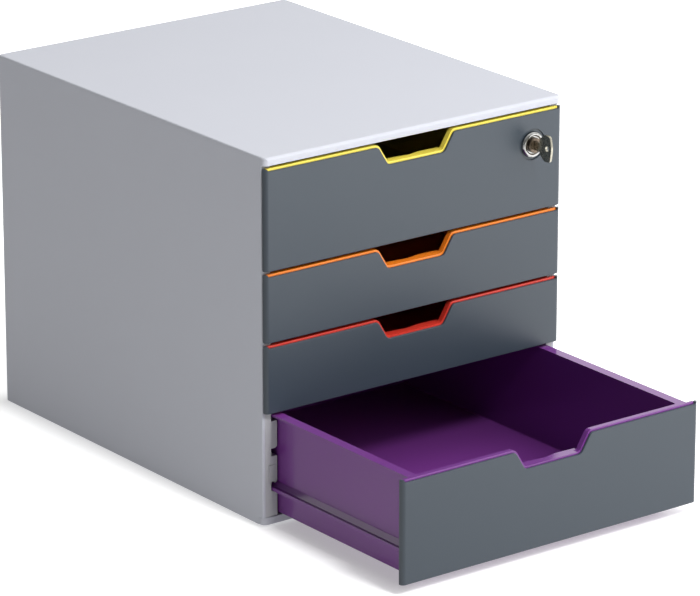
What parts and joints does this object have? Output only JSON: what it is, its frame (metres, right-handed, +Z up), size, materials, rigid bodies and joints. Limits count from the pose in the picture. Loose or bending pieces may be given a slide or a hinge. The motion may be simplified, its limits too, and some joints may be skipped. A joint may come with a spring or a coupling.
{
  "type": "desktop file drawer",
  "caption": "Free-standing desktop drawer box: grey casing, slate fronts over coloured trays with finger notches, a cam lock with its key in the top drawer, the bottom drawer part open.",
  "frame": {"origin": "on the surface that the feet stand on, below the middle of the box with its open drawer", "axes": "+X to the right seen from the front, +Y to the back, +Z up"},
  "size_m": [0.28, 0.5206, 0.2895],
  "materials": {
    "casing_grey": "satin, fine grain",
    "guide_grey": "satin",
    "front_slate": "satin",
    "tray_yellow": "satin",
    "tray_orange": "satin",
    "tray_red": "satin",
    "tray_purple": "satin",
    "foot_rubber": "matte",
    "screw_steel": "zinc plated",
    "lock_chrome": "polished",
    "plug_chrome": "polished",
    "wafer_brass": "plain",
    "key_nickel": "nickel plated"
  },
  "bodies": {
    "casing": {"casing_shell": "casing_grey", "rear_panel": "casing_grey", "base_plate": "casing_grey", "guide_left": "guide_grey", "guide_right": "guide_grey", "rubber_feet": "foot_rubber", "base_screws": "screw_steel", "drawer_catches": "guide_grey", "lock_strike": "screw_steel"},
    "drawer_1": {"tray_1": "tray_yellow", "front_cover_1": "front_slate", "lock_housing": "lock_chrome", "lock_clip": "screw_steel"},
    "drawer_2": {"tray_2": "tray_orange", "front_cover_2": "front_slate"},
    "drawer_3": {"tray_3": "tray_red", "front_cover_3": "front_slate"},
    "drawer_4": {"tray_4": "tray_purple", "front_cover_4": "front_slate"},
    "lock_core": {"lock_plug": "plug_chrome", "lock_wafers": "wafer_brass", "lock_cam": "screw_steel", "cam_screw": "screw_steel"},
    "key": {"key": "key_nickel"}
  },
  "joints": [
    {"name": "drawer_1_slide", "type": "slide", "parent": "casing", "child": "drawer_1", "axis": [0, -1, 0], "range_m": [0, 0.25]},
    {"name": "drawer_2_slide", "type": "slide", "parent": "casing", "child": "drawer_2", "axis": [0, -1, 0], "range_m": [0, 0.25]},
    {"name": "drawer_3_slide", "type": "slide", "parent": "casing", "child": "drawer_3", "axis": [0, -1, 0], "range_m": [0, 0.25]},
    {"name": "drawer_4_slide", "type": "slide", "parent": "casing", "child": "drawer_4", "axis": [0, -1, 0], "range_m": [-0.1645, 0.0855]},
    {"name": "lock_turn", "type": "hinge", "parent": "drawer_1", "child": "lock_core", "pos_m": [0.1113, -0.09955, 0.2554], "axis": [0, -1, 0], "range_deg": [0, 90]},
    {"name": "key_pull", "type": "slide", "parent": "lock_core", "child": "key", "axis": [0, -1, 0], "range_m": [0, 0.03]}
  ]
}
